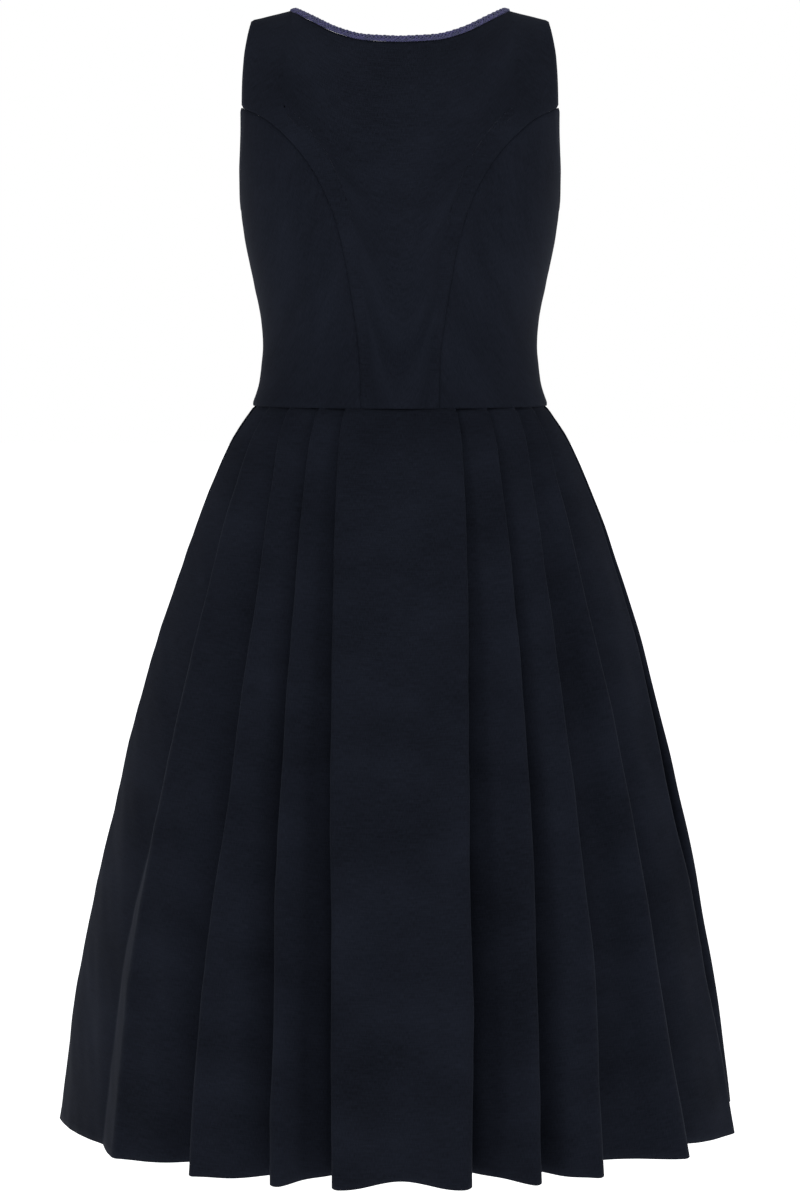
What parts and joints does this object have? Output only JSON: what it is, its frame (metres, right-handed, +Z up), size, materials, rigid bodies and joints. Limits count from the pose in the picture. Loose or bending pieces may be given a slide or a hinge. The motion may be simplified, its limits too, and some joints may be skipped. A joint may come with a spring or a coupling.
{
  "type": "dirndl dress",
  "caption": "Sleeveless folk dress, worn shape and hollow: fitted princess-seamed bodice with braid round the neckline, waist seam and a full pleated midi skirt.",
  "frame": {"origin": "midway between the two points where the shoulder seams meet the neckline, at their height", "axes": "+Z up, +Y towards the wearer's front, +X towards the wearer's right"},
  "size_m": [0.647, 0.565, 1.0522],
  "materials": {
    "cloth": "matte very dark navy woven cloth with a faint slub",
    "braid": "looped navy-blue braid, slightly lustrous"
  },
  "bodies": {
    "root": {"bodice_back_centre": "cloth", "bodice_back_side_left": "cloth", "bodice_back_side_right": "cloth", "bodice_front_side_left": "cloth", "bodice_front_side_right": "cloth", "bodice_front_centre_left": "cloth", "bodice_front_centre_right": "cloth", "neck_braid": "braid", "skirt_back": "cloth", "skirt_front_left": "cloth", "skirt_front_right": "cloth"}
  },
  "joints": []
}
